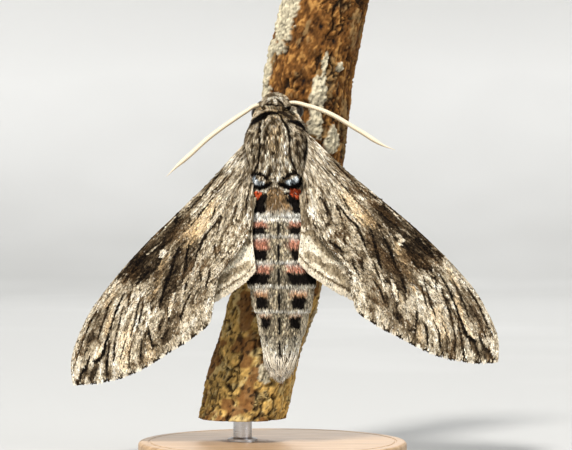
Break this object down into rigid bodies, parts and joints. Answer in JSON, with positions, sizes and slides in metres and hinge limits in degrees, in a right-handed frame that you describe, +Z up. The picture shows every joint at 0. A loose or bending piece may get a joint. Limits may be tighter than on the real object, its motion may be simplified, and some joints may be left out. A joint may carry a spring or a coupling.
{
  "type": "convolvulus hawk-moth on a branch perch with a display stand",
  "caption": "Life-size still model of a large grey hawk-moth resting head up on a short cut branch, wings held out like a roof, on a plain round stand.",
  "frame": {"origin": "centre of the underside of the stand's base", "axes": "+Z up through the stand, with the moth's head up and its back facing -Y; +X is to the right as the moth is seen from behind its back"},
  "size_m": [0.0725, 0.046, 0.079],
  "materials": {
    "thorax_coat": "long grey-brown hair scales with black lines",
    "head_coat": "grey and cream hair scales",
    "abdomen_coat": "grey scales with pink and black bands",
    "forewing_scales": "matt bark-like scales, grey-brown with dark streaks",
    "hindwing_scales": "matt cream scales with brown bands",
    "antenna": "cream, finely ribbed",
    "eye": "dark glossy compound eye",
    "palp_coat": "pale grey scales",
    "tongue": "brown, satin",
    "leg_scales": "grey-brown scales with pale rings",
    "bark": "rough cracked bark with grey lichen",
    "stand_steel": "brushed",
    "stand_wood": "satin turned wood"
  },
  "bodies": {
    "root": {"head": "head_coat", "eye_left": "eye", "eye_right": "eye", "palp_left": "palp_coat", "palp_right": "palp_coat", "proboscis": "tongue", "antenna_left": "antenna", "antenna_right": "antenna", "thorax": "thorax_coat", "abdomen": "abdomen_coat", "forewing_left": "forewing_scales", "forewing_right": "forewing_scales", "hindwing_left": "hindwing_scales", "hindwing_right": "hindwing_scales", "leg_front_left": "leg_scales", "leg_front_right": "leg_scales", "leg_middle_left": "leg_scales", "leg_middle_right": "leg_scales", "leg_hind_left": "leg_scales", "leg_hind_right": "leg_scales", "perch": "bark", "stand_rod": "stand_steel", "stand_base": "stand_wood"}
  },
  "joints": []
}
